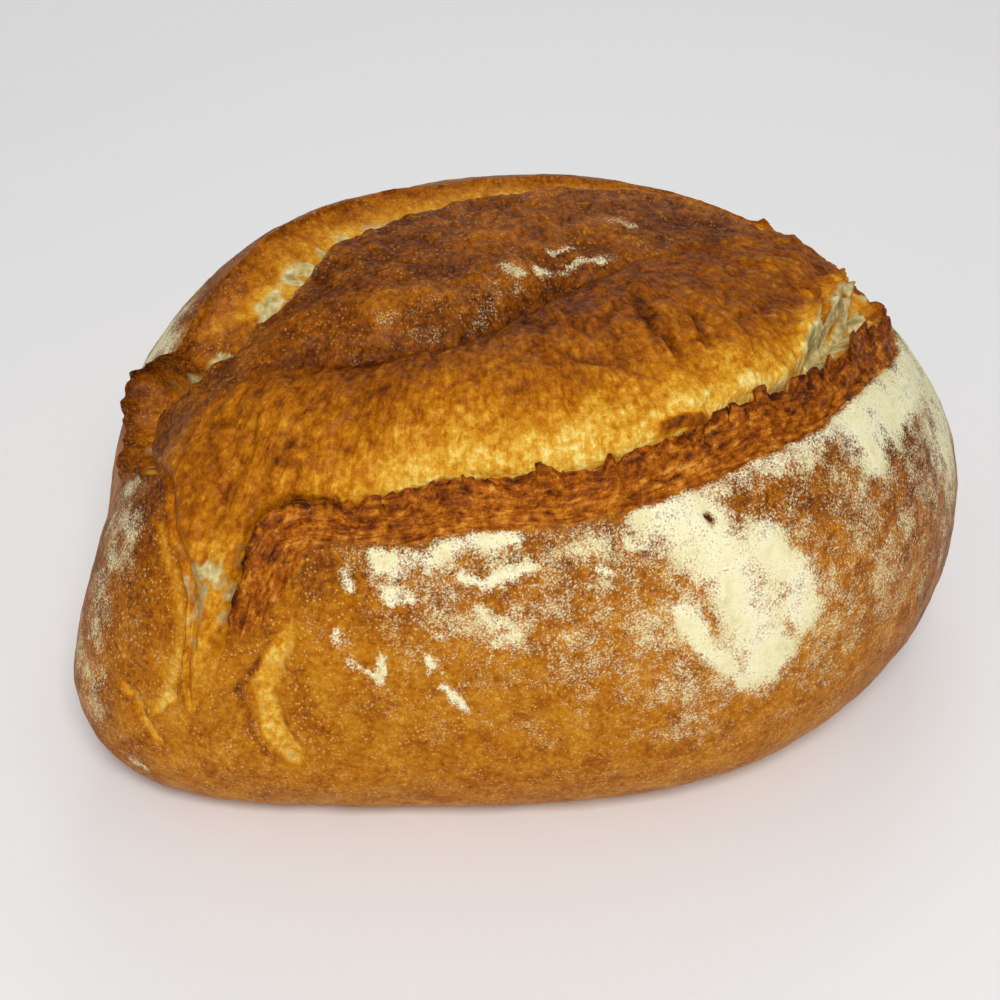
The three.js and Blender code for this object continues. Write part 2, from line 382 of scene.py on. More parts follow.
# %% How the torn surfaces flow: mm across and mm along their fibres
MM_PER_DEGREE, MM_DOWN = 1.7, 130    # round the bloom, and from the ridge to the base
bloom_flow = np.stack([MM_PER_DEGREE * longitude, MM_DOWN * down, 0 * down], axis=-1)
to_plain, at_plain = nearest(smooth, plain_lip)
lip_flow = np.stack([to_plain, lip_walk[at_plain], 0 * down], axis=-1)
flow = np.where(is_inside[:, None], bloom_flow, lip_flow)
tell("the lip's flow runs", lip_flow[..., 1])

# %% Strokes inside the lip
BLOOM = [(-140, 0.3), (-120, 0.28), (-100, 0.24), (-80, 0.21), (-60, 0.2), (-40, 0.2)]
PLEATS = [
    ([(-75, 0.1), (-77, 0.142), (-78, 0.165), (-79.5, 0.197), (-81.5, 0.225)], 1.8),
    ([(-75.5, 0.16), (-78, 0.197), (-79, 0.232), (-79, 0.265)], 1.3),
    ([(-67, 0.15), (-71, 0.192), (-73, 0.222), (-74.5, 0.255)], 1.4),
    ([(-97, 0.2), (-92, 0.212), (-87, 0.235)], 1.3),
]
crease = stroke(CREASE, 4.0)
valley = stroke(CREASE, 13.0, fade=0.3)
swelling = stroke(BLOOM, 26.0, fade=0.25)
pleated = np.max([stroke(path, reach, fade=0.4) for path, reach in PLEATS], axis=0)
slit = stroke([(155, 0.44), (162, 0.435), (170, 0.425)], 1.1, fade=0.3)
print("the bloom has", len(PLEATS), "pleats, and", round(100 * float(old_skin.mean())), "% is old skin")

# %% Heights inside the lip
pillow = 1 - np.exp(-(np.minimum(over_divide, 0) / 9) ** 2)
in_bloom = ease(to_lip, 2, 12) * (1 - old_skin)
folds = layered(bloom_flow * (1, 0.35, 1), 14, 11)
lumps = layered(smooth, 20, 17)
bent = smooth + 2.5 * np.stack([noise(smooth, 9, seed) for seed in (81, 83, 85)], axis=-1)
puckers = (np.exp(-(noise(bent, 12, 87) / 0.13) ** 2)
           + 0.5 * np.exp(-(noise(bent, 6, 89) / 0.16) ** 2))
wrinkles = layered(bent, 5, 23, 2)
SWELLS, PILLOWS = 3.0, 2.5
CREASE_DEEP, VALLEY_DEEP, PLEATS_DEEP, SLIT_DEEP = 4.5, 2.5, 2.1, 3.0
inside_height = (SWELLS * swelling + PILLOWS * pillow * (1 - old_skin) - CREASE_DEEP * crease
                 - VALLEY_DEEP * valley + in_bloom * (0.9 * folds - 0.75 * puckers) + 1.1 * lumps
                 + (0.65 + 0.3 * old_skin) * wrinkles - PLEATS_DEEP * pleated - SLIT_DEEP * slit)
tell("inside the lip the dough rises", inside_height[:, is_inside])

# %% [markdown]
# ## The profile across the lip
# Cut across a torn lip and you see the same section all round: the skin rises to a thin edge that
# curls over, a steep inner face drops into a gap, and the bloom swells up again behind it. Below
# the edge is a band of torn dough, hollowed a little, and then the smooth skin. A curve swept
# round the loaf could make that section, but it couldn't change so much on its way, so each
# vertex gets its height from `u`, its own distance to the lip. Noise along the lip makes its edge
# ragged: slow and fast rags, and sharp spikes that curl over further than the rest.

# %% The lip's measures at every vertex
u = to_lip + (to_plain - to_lip) * ease(to_lip, 1, 5)    # far off, its rags are forgotten
r, w, b = run[at_plain], gap_wide[at_plain], band[at_plain]    # run, gap's width, band's width
depth = gap_deep[at_plain]
tell("the gap is deep", depth)

# %% Rags and spikes along the lip
CORNER, CORNER_REACH = -138, 5    # degrees: where spikes would run into each other
MOST_CURL = 5.5
corner = np.exp(-((longitudes - CORNER) / CORNER_REACH) ** 2)
ragged = ease(stand, 1, 2.5) * (1 - 0.75 * at_back) * (1 - 0.8 * corner)
rags = noise(lip_line, 9, 31) + 0.5 * noise(lip_line, 3, 33) + 0.3 * noise(lip_line, 1.4, 35)
rags = rags * (1 - 0.3 * at_back)
spikes = (np.maximum(noise(lip_line, 5.5, 37) - 0.12, 0)
          + np.maximum(noise(lip_line, 2.8, 39) - 0.18, 0))
lip_curl = np.minimum(curl * (1 + 0.35 * rags) + 6.0 * spikes * ragged, MOST_CURL)
extra_tip = 0.35 * np.maximum(stand, 1.6) * rags + 4.5 * spikes * ragged
hook = lip_curl[at_lip]
tip = stand[at_plain] + extra_tip[at_lip] * np.exp(-u / 2.5)
tell("the lip stands up", tip)
tell("the lip curls over", hook)

# %% The profile inside the lip
face = np.clip(u / r, 0, 1)
pocket = ease(longitude, -64, -52) * (1 - ease(longitude, -12, 2))
in_gap = ease(u, 0.8, 3) * (1 - ease(u, w, 1.6 * w)) * ease(w, 6, 11)
tearing = (1 - 0.6 * at_back[:, None]) * layered(bent, 6, 91) * in_gap
inner_wall = tip - (tip + depth) * face ** 0.8
recovery = ease(u, 1.15 * r, np.maximum(w, 1.3 * r))
puffed = puff[at_plain] * (1 - np.exp(-(np.maximum(u - r, 0) / 6) ** 2)) * np.exp(-(u / 26) ** 2)
puffed = puffed + (blurred(puffed, 14) - puffed) * ease(u, 7, 14)
shreds = pocket * noise(smooth, 2.6, 101) * ease(u, 1, 3) * (1 - ease(u, w, 1.4 * w))
inside_profile = (np.where(u < r, inner_wall, -depth * (1 - recovery)) + puffed
                  + (1.0 + 2.4 * pocket) * tearing + 1.1 * shreds)
tell("the profile inside the lip rises", inside_profile[:, is_inside])

# %% The profile down the skin
flare = 0.45 * np.exp(-(u / 20) ** 2) + 0.55 * np.exp(-(u / (0.5 * b)) ** 2)
hollow = 1.1 * np.exp(-((u - 0.7 * b) / (0.3 * b)) ** 2) * ease(b, 3, 8)
skin_step = 0.5 * ease(u, b, b + 0.8) * np.exp(-((u - b) / 9) ** 2) * ease(b, 3, 8)
skin_profile = tip * flare - hollow + skin_step
tell("the profile down the skin rises", skin_profile[:, ~is_inside])

# %% [markdown]
# ## Cracks, a shred and a pit
# Where the skin was stretched after it had dried, it gave way in pale bands. A brown shred of it
# lies on the bloom, an eye of crumb shows in the torn band, and one small crack opened in the
# floured flank. They are strokes too. A crack's path is shaken by noise, and its middle is cut
# off with a smooth step, so that it has a torn edge and a flat floor, not a groove's soft slope.

# %% Cracks, a shred and a pit
CRACKS = [
    ([(-131.5, 0.49), (-132.3, 0.53), (-134, 0.57), (-135.2, 0.615), (-134.4, 0.665), (-131.8, 0.715),
      (-129.5, 0.775)], 3.7),
    ([(-157, 0.61), (-152.5, 0.65), (-150, 0.7), (-148, 0.745)], 1.6),
    ([(-146.5, 0.62), (-148.5, 0.65), (-150, 0.67)], 2.2),
]
# The crack's left edge is a groove whose colour is also darkened below: painted shade.
SHADED_CRACK_EDGE = [(-133.5, 0.52), (-136, 0.57), (-138.2, 0.615), (-137.2, 0.67), (-134.8, 0.72),
              (-132, 0.77)]
SHELF = [(-88, 0.333), (-86, 0.322), (-83, 0.316), (-80, 0.318), (-77.5, 0.327)]
EYE = [(-85.5, 0.38), (-82.5, 0.374), (-79.5, 0.376)]
PIT = [(-83.4, 0.432), (-82.6, 0.448), (-82.2, 0.46)]
shaken = smooth + 0.45 * (bent - smooth)
cracked = np.max([stroke(path, reach, 0.3, 2, shaken) for path, reach in CRACKS], axis=0)
cracked = ease(cracked + 0.2 * layered(smooth, 4, 105, 2) * (cracked > 0.1), 0.34, 0.55)
shaded_crack_edge = stroke(SHADED_CRACK_EDGE, 1.0, 0.3, 2, shaken)
pitted = stroke(PIT, 0.9, fade=0.3)
shelf = stroke(SHELF, 1.4, 0.3, 3) * is_inside
eye = stroke(EYE, 1.5, 0.4, 3) * ~is_inside
print(len(CRACKS), "cracks cover", int((cracked > 0.5).sum()), "vertices")

# %% Heights on the skin
slow = layered(smooth, 55, 41, 2)
dimples = layered(smooth, 14, 43)
below_band = to_plain - band[at_plain] * (1 + 0.08 * noise(smooth, 5, 51))
band_mask = (1 - ease(below_band, -0.5, 0.3)) * ease(b, 2.5, 5) * ~is_inside
flakes = layered(lip_flow * (1, 0.22, 1), 2.6, 53) + 0.9 * layered(bent, 5, 57)
CRACKS_DEEP, EDGE_DEEP, PIT_DEEP, EYE_DEEP = 0.9, 1.4, 2.5, 1.2
skin_height = (0.35 * dimples + 0.12 * noise(smooth, 3.0, 47) + 1.1 * flakes * band_mask
               - (CRACKS_DEEP + 0.7 * layered(smooth, 3, 61)) * cracked - EDGE_DEEP * shaded_crack_edge
               - PIT_DEEP * pitted - EYE_DEEP * eye)
tell("the skin's own lumps rise", skin_height[:, ~is_inside])

# %% Put the heights together
SHELF_HIGH = 1.8
reach_in = ease(u, 0.3 * w, 1.2 * w)
height = np.where(is_inside, inside_profile + inside_height * reach_in,
                  skin_profile + skin_height) + 0.8 * slow + SHELF_HIGH * shelf
height = height * (1 - ease(down, 0.86, 0.99))
shift = hook * np.where(is_inside, np.exp(-(u / 1.0) ** 2), np.exp(-(u / 4.0) ** 2))
vertices = smooth + normal * height[..., None] + inward * shift[..., None]
tell("the surface stands off the smooth dough", height)

# %% Pushes: places dragged sideways as the skin tore (from, to, how far it is felt in mm)
PUSHES = [
    ((149.5, 0.345), (154.5, 0.34), 9),
    ((151, 0.425), (147.5, 0.43), 8),
]
for start, end, reach in PUSHES:
    start, end = dough(*start), dough(*end)
    felt = np.exp(-(np.linalg.norm(smooth - start, axis=-1) / reach) ** 2)
    vertices += felt[..., None] * (end - start)
    print("a push of", round(float(np.linalg.norm(end - start)), 1), "mm")
vertices[..., 2] = np.where(on_base, 0, np.maximum(vertices[..., 2], 0))

# %% [markdown]
# ## The mesh
# The rows are rings round the loaf. The first and the last ring nearly close on themselves along
# the middle line; the slit that is left is zipped up with triangles, always taking the next
# point from the side that lags behind. A voxel remesh would close it too, and would blunt the lip.

# %% A zip for the slit


def zipped(first, second, points):
    """Triangles between two rows of points that run the same way."""
    faces = []
    i = j = 0
    while i + 1 < len(first) or j + 1 < len(second):
        lag = (j + 1 == len(second) or (i + 1 < len(first)
               and points[first[i + 1]][0] <= points[second[j + 1]][0]))
        if lag:
            faces.append((first[i], first[i + 1], second[j]))
            i += 1
        else:
            faces.append((first[i], second[j + 1], second[j]))
            j += 1
    return [face for face in faces if len(set(face)) == 3]


print("three points against two make", len(zipped([0, 1, 2], [3, 4], [(0,), (1,), (2,), (0,), (2,)])),
      "triangles")

# %% Points, in the frame's place
points = (vertices * MM).reshape(-1, 3)
centre = (points.min(0) + points.max(0)) / 2
box_centre = (loaf_low + loaf_high) / 2
points[:, :2] += np.array(box_centre)[:2] - centre[:2]
tell("the points stand high", points[:, 2] / MM)

# %% Faces
index = np.arange(COLUMNS * ROWS).reshape(COLUMNS, ROWS)
here, there = index, np.roll(index, -1, axis=0)
quads = np.stack([here[:, :-1], here[:, 1:], there[:, 1:], there[:, :-1]], axis=-1)
faces = quads.reshape(-1, 4).tolist()
right_end = int(np.abs(longitudes).argmin())
left_to_right_front = index[np.arange(0, right_end + 1)]
back_columns = np.concatenate([[0], np.arange(COLUMNS - 1, right_end - 1, -1)])
left_to_right_back = index[back_columns]
faces += zipped(left_to_right_front[:, 0].tolist(), left_to_right_back[:, 0].tolist(), points)
faces += [face[::-1] for face in
          zipped(left_to_right_front[:, -1].tolist(), left_to_right_back[:, -1].tolist(), points)]
print("the two slits took", len(faces) - quads[..., 0].size, "triangles")

# %% The mesh and its object
mesh = bpy.data.meshes.new("loaf_crust")
mesh.from_pydata(points.tolist(), [], faces)
mesh.update()
mesh.shade_smooth()
loaf = bpy.data.objects.new("loaf_crust", mesh)
bpy.context.scene.collection.objects.link(loaf)
print("the crust has", len(mesh.vertices), "vertices and", len(mesh.polygons), "faces")

# %% [markdown]
# ## Where the loaf is brown, pale, torn or floured
# A crust's colour is how far it was baked: proud edges burn first, sheltered dough stays pale.
# Masks for that could be painted by hand; here they come from the same distances and strokes
# that shaped the mesh, so that colour and shape agree. Some of them hold painted shade too. Each is
# stored on the mesh's vertices.

# %% [markdown]
# ## Flour
# The dough proved in a floured basket, and the flour that stuck to it baked on: thick heaps where
# it lay in the basket's folds, and a thin dust between. It could be scattered as grains, but
# there are millions of them. So each heap is a stroke, blown about by noise, that says how thick
# the flour lies, and the material turns that into grains.

# %% Where flour lies on the skin: path, reach in mm, how thick
FLOUR = [
    ([(-88, 0.42), (-84, 0.46), (-81, 0.54), (-79, 0.61), (-78.5, 0.66)], 13, 1.0),
    ([(-77, 0.5), (-74, 0.56), (-74, 0.61)], 9, 1.0),
    ([(-86, 0.4), (-76, 0.385), (-66, 0.385), (-58, 0.39)], 8, 0.8),
    ([(-56, 0.4), (-48, 0.41), (-36, 0.43), (-27, 0.43)], 13, 1.0),
    ([(-56, 0.41), (-55, 0.45)], 9, 1.0),
    ([(-36, 0.5), (-36, 0.6), (-42, 0.68)], 14, 0.55),
    ([(-34, 0.55), (-22, 0.5), (0, 0.42), (15, 0.4)], 22, 0.85),
    ([(-123, 0.46), (-119, 0.475), (-115, 0.455), (-111, 0.445), (-106, 0.44)], 4.2, 1.0),
    ([(-121.5, 0.48), (-120, 0.505), (-118, 0.515)], 3.4, 1.0),
    ([(-111.5, 0.49), (-109, 0.51), (-107, 0.49), (-104, 0.475)], 2.8, 1.0),
    ([(-110, 0.53), (-107, 0.55), (-106, 0.57), (-108, 0.585)], 3.2, 0.75),
    ([(-115.4, 0.59), (-114, 0.625), (-113, 0.65), (-111, 0.665)], 1.9, 1.0),
    ([(-127, 0.55), (-126, 0.57), (-123.5, 0.6), (-122, 0.62)], 1.9, 0.9),
    ([(-121, 0.58), (-122, 0.61)], 1.5, 0.9),
    ([(-126.5, 0.475), (-126, 0.49)], 2.2, 1.0),
    ([(-123.5, 0.45), (-122.5, 0.455)], 2.0, 1.0),
    ([(-114, 0.56), (-112, 0.545)], 1.6, 0.8),
    ([(-87.5, 0.56), (-86, 0.61), (-83, 0.65), (-81, 0.68)], 4.5, 1.0),
    ([(-93, 0.465), (-90.5, 0.47)], 2.2, 0.9),
    ([(-96.5, 0.49), (-95, 0.495)], 1.8, 0.9),
    ([(-92, 0.71), (-86, 0.73), (-84, 0.71)], 5, 0.45),
    ([(-104, 0.63), (-103, 0.64), (-101, 0.66)], 2.0, 0.65),
    ([(-92, 0.55), (-90, 0.57)], 2.5, 0.6),
    ([(-114, 0.5), (-100, 0.56), (-92, 0.6), (-86, 0.66)], 26, 0.48),
    ([(-64, 0.5), (-54, 0.56), (-44, 0.6)], 22, 0.45),
    ([(-98, 0.46), (-92, 0.45), (-88, 0.44)], 7, 0.6),
    ([(-176, 0.46), (-168, 0.5), (-168, 0.6), (-165, 0.68)], 16, 0.5),
    ([(-178, 0.435), (-172, 0.455), (-166, 0.45)], 8, 0.62),
    ([(142, 0.4), (139, 0.45), (137, 0.4)], 12, 0.8),
    ([(-155, 0.77), (-154, 0.79)], 2.5, 0.7),
    ([(30, 0.42), (60, 0.35), (95, 0.4), (125, 0.42)], 20, 0.6),
    ([(70, 0.3), (90, 0.34)], 11, 1.0),
    ([(108, 0.5), (100, 0.6)], 9, 0.9),
    ([(20, 0.55), (45, 0.6), (80, 0.62), (120, 0.6)], 26, 0.35),
]
print(len(FLOUR), "heaps and dustings of flour")

# %% How thick the flour lies
CRUMBS_OF_FLOUR = [
    ([(-80, 0.016), (-73, 0.014)], 2.2, 0.8),
    ([(-88, 0.035), (-76, 0.036), (-66, 0.04)], 2.0, 0.75),
    ([(-99, 0.03), (-94, 0.04)], 2.5, 0.55),
    ([(35, 0.014), (50, 0.02)], 3.5, 0.5),
    ([(-100, 0.05), (-110, 0.1), (-125, 0.13)], 9, 0.3),
]
blown = smooth + 2.2 * np.stack([layered(smooth, 9, seed) for seed in (93, 95, 97)], axis=-1)
dust = 0.12 + 0.34 * stroke([(-108, 0.47), (-85, 0.58), (-50, 0.58), (-25, 0.5)], 36, 0, 2)
flour = np.max([dust] + [thick * stroke(path, reach, 0, 2.2, blown) for path, reach, thick in FLOUR],
               axis=0)
flour = flour * ease(below_band, -1.6, 0.4) * ~is_inside
flour_inside = np.max([thick * stroke(path, reach, 0, 2.5, blown)
                       for path, reach, thick in CRUMBS_OF_FLOUR], axis=0)
flour = np.where(is_inside, flour_inside * old_skin, flour) * (1 - cracked) * (1 - pitted)
flour = flour * (1 - ease(down, 0.8, 0.95)) + 0.45 * ease(down, 0.97, 1.0)
tell("flour", flour, "of 1")

# %% [markdown]
# ## Browning and painted shade
# How brown a place gets depends on how far it stuck out and how long it lay open: the old skin
# and the lip's edge are darkest, the bloom pales towards the gap, where it opened last, and the
# crumb in the gap stays white. Each part has its own starting value, from 0 for white crumb to 1
# for burnt, and the strokes above darken or lighten it. Painted shade is added to the same value:
# the crease, its valley, the pleats, the slit, the pit and the crack's edge are darker where shade
# falls in them, and the right end is darker where it turns from the light. A painted highlight
# pales the tongue's edge, and holes in the crumb are painted grey as shade.

# %% Browning of the bloom, with painted shade in its hollows and over the right end
TONGUE = [(-145, 0.46), (-143.5, 0.52), (-144, 0.6), (-144.5, 0.66)]
BLOOM_PALEST, BLOOM_BROWNEST = 0.21, 0.6
BLOOM_AT_ENDS = 0.58
front = ease(longitudes, -140, -112) * (1 - ease(longitudes, -58, -35))
pale = blurred(front[at_plain], 20)
# Painted shade: right_end_shade is 1 over the right end, which turns away from the light, and darkens
# the bloom, the skin and the torn band there.
right_end_shade = ease(longitude, -95, -50) * (1 - ease(longitude, 20, 60))    # 1 over the right end
bloom_bake_and_shade = BLOOM_PALEST + (BLOOM_BROWNEST - BLOOM_PALEST) * ease(u, 3, 29)
bloom_bake_and_shade = bloom_bake_and_shade + (BLOOM_AT_ENDS - bloom_bake_and_shade) * (1 - pale) * (1 - ease(u, 30, 45))
# Painted shade: the crease, its valley, the pleats and the slit are made darker where shade falls in
# them, and the right end is made darker too.
bloom_bake_and_shade = (bloom_bake_and_shade + 0.14 * ease(u, 28, 48) + 0.04 * crease + 0.06 * valley + 0.2 * pleated
              + 0.12 * right_end_shade * ease(u, 4, 16) * (1 - ease(u, 22, 40)) + 0.07 * puckers
              - 0.2 * pocket * (1 - ease(u, w, w + 8)) + 0.35 * slit
              - 0.2 * stroke(TONGUE, 9, 0) * is_inside)
tell("browning of the bloom", bloom_bake_and_shade[:, is_inside], "of 1")

# %% Browning of the old skin and the gap's wall
STRIP_BROWN, WALL_BROWN = 0.78, 0.66
# Painted shade: the old skin is made darker in the crease.
strip_bake_and_shade = STRIP_BROWN + 0.06 * crease - 0.1 * lumps - 0.06 * wrinkles
bake_and_shade_inside = bloom_bake_and_shade * (1 - old_skin) + strip_bake_and_shade * old_skin
flap = ease(longitude, 149, 152) * (1 - ease(longitude, 178, 186))    # 1 over the second flap
wall_depth = ease(u / r + 0.3 * tearing, 0.05, 0.7 + 0.4 * flap)
wall_bake = WALL_BROWN + 0.12 * flap - (0.3 - 0.08 * flap) * wall_depth
on_wall = (u < 1.1 * r) * ease(r, 1.5, 3.5)
bake_and_shade_inside = bake_and_shade_inside * (1 - on_wall) + wall_bake * on_wall
tell("browning inside the lip", bake_and_shade_inside[:, is_inside], "of 1")

# %% Browning of the skin and the torn band, with painted shade
SKIN_BROWN, BAND_BROWN = 0.57, 0.42
# Painted shade: the skin is made darker over the right end, along the crack's left edge and in the pit.
skin_bake_and_shade = (SKIN_BROWN + 0.17 * right_end_shade * ease(longitude, -75, -35) + 0.08 * ease(-longitude, 146, 158)
             + 0.16 * ease(0.62 - down, 0, 0.2) - 0.2 * ease(down, 0.9, 0.97)
             - 0.24 * cracked + 0.25 * shaded_crack_edge + 0.4 * pitted)
# Painted shade: the torn band is made darker over the right end.
band_bake_and_shade = (BAND_BROWN + 0.08 * right_end_shade + 0.16 * np.exp(-u / 4) + 0.14 * noise(smooth, 9, 99)
             - 0.9 * eye)
skin_bake_and_shade = skin_bake_and_shade * (1 - band_mask) + band_bake_and_shade * band_mask
tell("browning of the skin", skin_bake_and_shade[:, ~is_inside], "of 1")

# %% Browning all over, burnt at the lip's edge, with a painted highlight along the tongue's
TONGUE_HIGHLIGHT = [(-160, 0.412), (-155.5, 0.446), (-151, 0.475), (-147.8, 0.52), (-147, 0.57),
               (-147.6, 0.62), (-149.2, 0.65), (-151, 0.665)]
bake_and_shade = np.where(is_inside, bake_and_shade_inside, np.maximum(skin_bake_and_shade, 0.1))
bake_and_shade = bake_and_shade + 0.08 * np.exp(-(u / 1.4) ** 2) * ease(tip, 1.0, 2.5)
# Painted highlight: a pale line along the tongue's edge.
bake_and_shade = bake_and_shade - 0.3 * stroke(TONGUE_HIGHLIGHT, 1.6, 0.1) * (1 - 0.7 * cracked) + 0.55 * shelf
tell("browning_and_shade", bake_and_shade, "of 1")

# %% Crumb, and holes in it, darkened as painted shade
TONGUE_CRUMB = [(-147, 0.48), (-145, 0.47)]
# Painted shade: where holes in the crumb lie, to be painted grey.
shaded_bubbles = ease(noise(bent, 4.2, 71), 0.1, 0.5)
slivers = noise(lip_flow * (0.4, 1, 1), 5.5, 107) + 0.3 * noise(smooth, 3, 75)
shreds_of_crumb = noise(smooth, 10, 73) + 0.8 * noise(smooth, 4.5, 75)
patches = ease(np.where(pocket > 0.2, shreds_of_crumb + 0.1, slivers), -0.25, 0.1)
near_wall = ease(u + 2 * noise(bent, 6, 77), 0.4 * r, 0.7 * r) * (1 - ease(u, 0.8 * w, 1.1 * w))
crumb = crumbs[at_lip] * near_wall * patches
tongue_crumb = stroke(TONGUE_CRUMB, 4.5, 0) * ease(noise(smooth, 3, 79), -0.3, 0.2)
crumb = np.maximum(crumb, tongue_crumb) * is_inside
crumb = np.maximum(crumb, 0.3 * cracked * ease(noise(smooth, 5, 103), 0.1, 0.5))
tell("crumb", crumb, "of 1")

# %% How freshly opened the surface is, from skin to bloom
TONGUE_FOOT = [(-140, 0.57), (-141, 0.64), (-143, 0.68)]
opened = np.where(is_inside, 1 - 0.5 * old_skin, cracked * 0.8)
opened = np.where(is_inside & (u < w), np.maximum(opened, 1 - ease(over_divide, -1, 30)), opened)
opened = np.where(is_inside, opened * (1 - on_wall) + 0.6 * on_wall, opened)
opened = opened * (1 - ease(stroke(TONGUE_FOOT, 7, 0), 0.3, 0.8))
tell("opened", opened, "of 1")

# %% The masks go onto the mesh
MASKS = {"flour": flour, "bake_and_shade": bake_and_shade, "torn": band_mask, "crumb": crumb, "opened": opened,
         "shaded_bubbles": shaded_bubbles * crumb}
for name, values in MASKS.items():
    layer = mesh.attributes.new(name, "FLOAT", "POINT")
    layer.data.foreach_set("value", values.astype(np.float32).ravel())
    print(f"{name:8} covers {100 * float(values.mean()):.0f}% of the vertices")
flow_layer = mesh.attributes.new("flow", "FLOAT_VECTOR", "POINT")
flow_layer.data.foreach_set("vector", flow.astype(np.float32).ravel())

# %% [markdown]
# ## Baked crust
# Crust is starch and protein that browned and set to a thin glassy skin over dry crumb: a
# dielectric with an index near 1.5, half rough where it was steamed, dull where it is floured.
# One material paints the whole loaf, because it is one piece. An image could be painted for it,
# but would blur close up. So its colours are browning ramps, read at the vertex masks plus fine
# noise, with flour laid over last, grain by grain.

# %% Colours from hex values


def linear(hex_colour):
    """A Blender colour from an sRGB hex value."""
    shares = [int(hex_colour[k:k + 2], 16) / 255 for k in (1, 3, 5)]
    return [c / 12.92 if c <= 0.04045 else ((c + 0.055) / 1.055) ** 2.4 for c in shares] + [1]


print("middle grey is", round(linear("#808080")[0], 3), "in a shader")

# %% Nodes


def add(tree, kind, *links, ramp=(), named=None, **settings):
    """Adds a node to a tree and gives the first output that is in use.

    `links` are values or sockets for its inputs, in their order on the node (None leaves one as
    it is), `named` the same by an input's name, `ramp` a colour ramp's stops, and everything
    else is a setting of the node.
    """
    node = tree.nodes.new("ShaderNode" + kind)
    for name, value in settings.items():
        setattr(node, name, value)
    for k, (place, colour) in enumerate(ramp):
        stop = node.color_ramp.elements[k] if k < 2 else node.color_ramp.elements.new(place)
        stop.position, stop.color = place, linear(colour)
    sockets = [socket for socket in node.inputs if socket.enabled]
    values = [*zip(sockets, links), *((node.inputs[k], v) for k, v in (named or {}).items())]
    for socket, value in values:
        if isinstance(value, bpy.types.NodeSocket):
            tree.links.new(value, socket)
        elif value is not None:
            socket.default_value = value
    return next((socket for socket in node.outputs if socket.enabled), None)


PER_MM = 1 / MM
print("texture coordinates are in metres, so a scale of", round(PER_MM / 3), "makes 3 mm lumps")

# %% The crust's colours as it bakes: share browned, and the colour there
BLOOM_RAMP = [(0.0, "#F8EDBE"), (1.0, "#3A1602"), (0.14, "#F1D878"), (0.3, "#DFA52E"),
              (0.48, "#C17607"), (0.66, "#9A5200"), (0.84, "#6B3300")]
SKIN_RAMP = [(0.0, "#F0DCA0"), (1.0, "#421B02"), (0.2, "#DCAA44"), (0.4, "#C58417"),
             (0.6, "#AD6500"), (0.8, "#7E3F00")]
TORN_RAMP = [(0.0, "#DA9A3A"), (1.0, "#3A1602"), (0.25, "#BC6C12"), (0.5, "#964C02"),
             (0.75, "#6C3000")]
CRUMB_RAMP = [(0.3, "#A4935A"), (0.7, "#E6DCAC"), (0.5, "#CABC80")]
FLOUR_RAMP = [(0.3, "#E3D79E"), (0.65, "#FCF8D8"), (0.46, "#F7F0C2")]
# The crumb's holes are painted shade: a darker grey where they lie.
BLISTER, BUBBLE_SHADE = "#D9A95C", "#8E8456"
print("the bloom browns over", len(BLOOM_RAMP), "colours and the skin over", len(SKIN_RAMP))

# %% Baked crust: coordinates and masks
crust = bpy.data.materials.new("baked_crust")
crust.use_nodes = True
tree = crust.node_tree
tree.nodes.clear()
place = add(tree, "TexCoord").node.outputs["Object"]
mask = {name: add(tree, "Attribute", attribute_name=name).node.outputs["Fac"] for name in MASKS}
flow_place = add(tree, "Attribute", attribute_name="flow").node.outputs["Vector"]
not_opened = add(tree, "Math", 1.0, mask["opened"], operation="SUBTRACT")
print("the material reads", len(mask), "masks and the flow")

# %% Baked crust: patterns of mottling, pores, fibres and puckered cells, measured in mm
MOTTLE, PORE, BEND, CELL = 9, 1.8, 4, 3.4
mottle = add(tree, "TexNoise", place,
             named={"Scale": PER_MM / MOTTLE, "Detail": 4.0, "Roughness": 0.6})
pores = add(tree, "TexNoise", place,
            named={"Scale": PER_MM / PORE, "Detail": 3.0, "Roughness": 0.75})
along = add(tree, "VectorMath", flow_place, (0.5, 0.2, 1), operation="MULTIPLY")
fibre = add(tree, "TexNoise", along,
            named={"Scale": 1.0, "Detail": 4.0, "Roughness": 0.65, "Distortion": 1.2})
wander = add(tree, "TexNoise", place, named={"Scale": PER_MM / BEND}).node.outputs["Color"]
wandering = add(tree, "VectorMath", wander, (0.005, 0.005, 0.005), place, operation="MULTIPLY_ADD")
cells = add(tree, "TexVoronoi", wandering, named={"Scale": PER_MM / CELL})
print("the patterns took", len(tree.nodes), "nodes so far")

# %% Baked crust: browning and painted shade, by each pattern's middle value and its share on skin and on bloom
PATTERNS = [(mottle, 0.5, 0.62, 0.36), (pores, 0.5, 0.85, 0.66), (fibre, 0.5, 0.0, 0.46),
            (cells, 0.48, 0.0, 0.18)]
browning_and_shade = mask["bake_and_shade"]
for pattern, middle, on_skin, on_bloom in PATTERNS:
    share = add(tree, "MapRange", mask["opened"], 0.0, 1.0, on_skin, on_bloom)
    swing = add(tree, "Math", pattern, middle, operation="SUBTRACT")
    browning_and_shade = add(tree, "Math", swing, share, browning_and_shade, operation="MULTIPLY_ADD")
bloom_colour = add(tree, "ValToRGB", browning_and_shade, ramp=BLOOM_RAMP)
skin_colour = add(tree, "ValToRGB", browning_and_shade, ramp=SKIN_RAMP)
colour = add(tree, "Mix", mask["opened"], skin_colour, bloom_colour, data_type="RGBA")
print(len(PATTERNS), "patterns change how brown the crust is")

